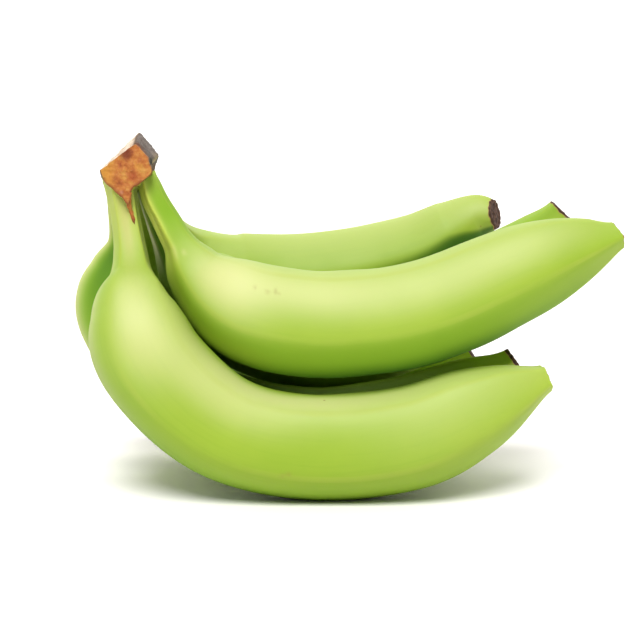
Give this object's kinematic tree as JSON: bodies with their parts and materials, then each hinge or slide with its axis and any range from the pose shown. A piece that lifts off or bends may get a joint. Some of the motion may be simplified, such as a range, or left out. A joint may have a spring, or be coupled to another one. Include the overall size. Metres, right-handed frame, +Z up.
{
  "type": "hand of green bananas",
  "caption": "Hand of unripe green bananas in two layers, joined by their stalks at a dry woody crown, lying on the undersides of the outer layer",
  "frame": {"origin": "on the table under the middle of the hand's bounding box", "axes": "+X from the stalks to the blossom ends, +Y across the hand to its back, +Z up, away from the table"},
  "size_m": [0.2056, 0.1273, 0.1328],
  "materials": {
    "crown": "rough dry cut",
    "peel_pale": "smooth waxy",
    "peel_mid": "smooth waxy",
    "peel_dark": "smooth waxy"
  },
  "bodies": {
    "root": {"crown": "crown", "finger_outer_front": "peel_pale", "finger_outer_middle": "peel_dark", "finger_outer_rear": "peel_dark", "finger_inner_front": "peel_pale", "finger_inner_middle": "peel_mid", "finger_inner_rear": "peel_mid"}
  },
  "joints": []
}
